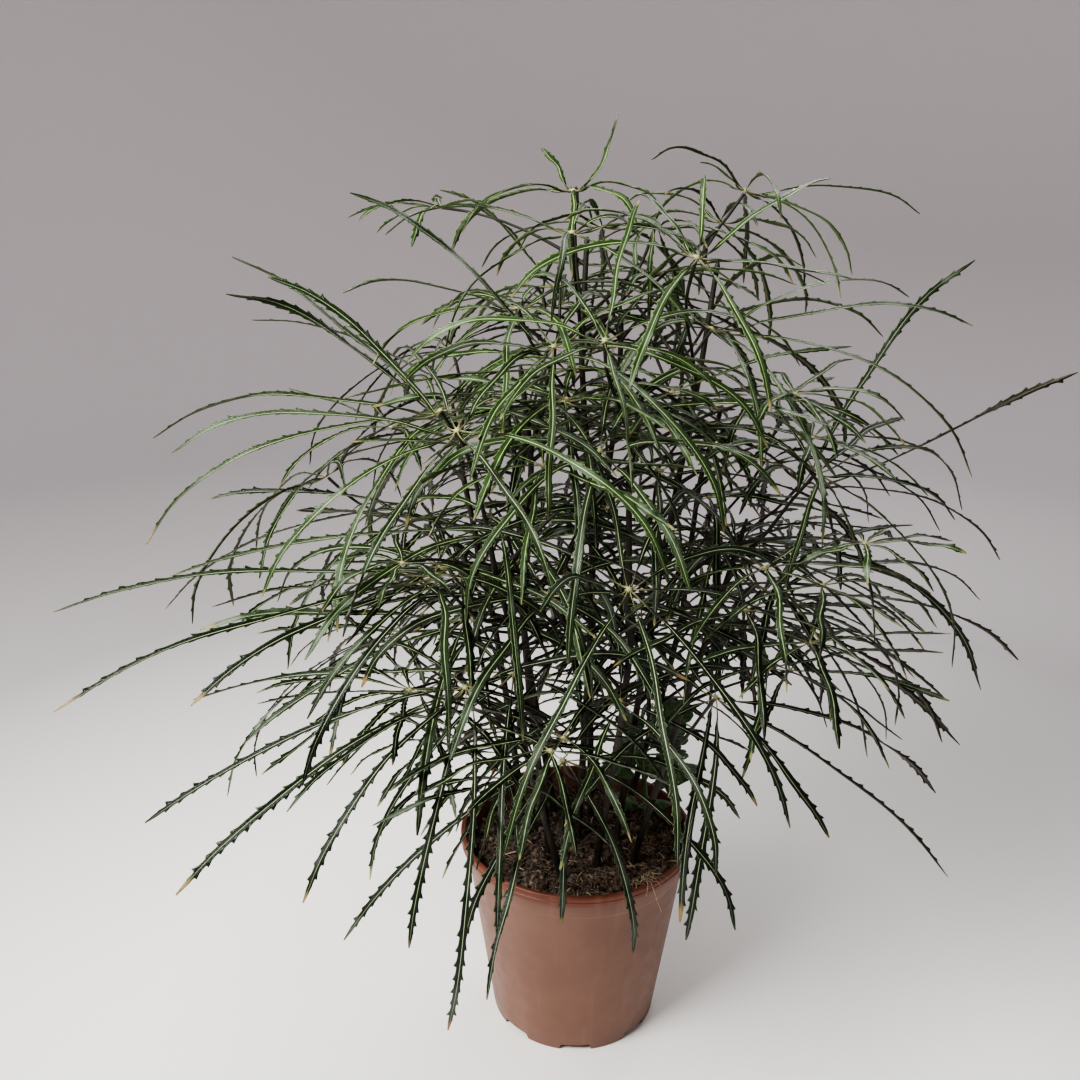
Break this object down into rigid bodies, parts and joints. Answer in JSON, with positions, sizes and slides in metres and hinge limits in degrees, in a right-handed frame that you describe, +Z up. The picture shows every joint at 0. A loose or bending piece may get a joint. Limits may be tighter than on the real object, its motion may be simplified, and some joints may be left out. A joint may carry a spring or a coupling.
{
  "type": "potted false aralia",
  "caption": "Standing pot plant: thin upright canes with palmate leaves of long, narrow, toothed leaflets, in a round tapered plastic pot filled with soil.",
  "frame": {"origin": "middle of the pot's underside, on its middle pad, in the plane of the foot ring", "axes": "+Z up along the pot's axis; -Y towards the side that the picture shows; +X to its right"},
  "size_m": [0.7037, 0.6529, 0.7178],
  "materials": {
    "pot_plastic": "satin moulded terracotta-brown plastic",
    "potting_soil": "loose damp peat with fibres",
    "cane": "dark thin bark with pale specks",
    "leaf": "glossy dark green leaf with a pale midrib",
    "young_leaf": "satin mid green leaf"
  },
  "bodies": {
    "root": {"pot": "pot_plastic", "soil": "potting_soil", "young_shoot": "young_leaf", "leaf_01": "leaf", "leaf_02": "leaf", "leaf_03": "leaf", "leaf_04": "leaf", "leaf_05": "leaf", "leaf_06": "leaf", "leaf_07": "leaf", "leaf_08": "leaf", "leaf_09": "leaf", "leaf_10": "leaf", "leaf_11": "leaf", "leaf_12": "leaf", "leaf_13": "leaf", "leaf_14": "leaf", "leaf_15": "leaf", "leaf_16": "leaf", "leaf_17": "leaf", "leaf_18": "leaf", "leaf_19": "leaf", "leaf_20": "leaf", "leaf_21": "leaf", "leaf_22": "leaf", "leaf_23": "leaf", "leaf_24": "leaf", "leaf_25": "leaf", "leaf_26": "leaf", "leaf_27": "leaf", "leaf_28": "leaf", "leaf_29": "leaf", "leaf_30": "leaf", "leaf_31": "leaf", "leaf_32": "leaf", "leaf_33": "leaf", "leaf_34": "leaf", "leaf_35": "leaf", "leaf_36": "leaf", "leaf_37": "leaf", "leaf_38": "leaf", "leaf_39": "leaf", "leaf_40": "leaf", "leaf_41": "leaf", "leaf_42": "leaf", "leaf_43": "leaf", "leaf_44": "leaf", "leaf_45": "leaf", "leaf_46": "leaf", "leaf_47": "leaf", "cane_01": "cane", "cane_02": "cane", "cane_03": "cane", "cane_04": "cane", "cane_05": "cane", "cane_06": "cane", "cane_07": "cane", "cane_08": "cane", "cane_09": "cane", "cane_10": "cane"}
  },
  "joints": []
}
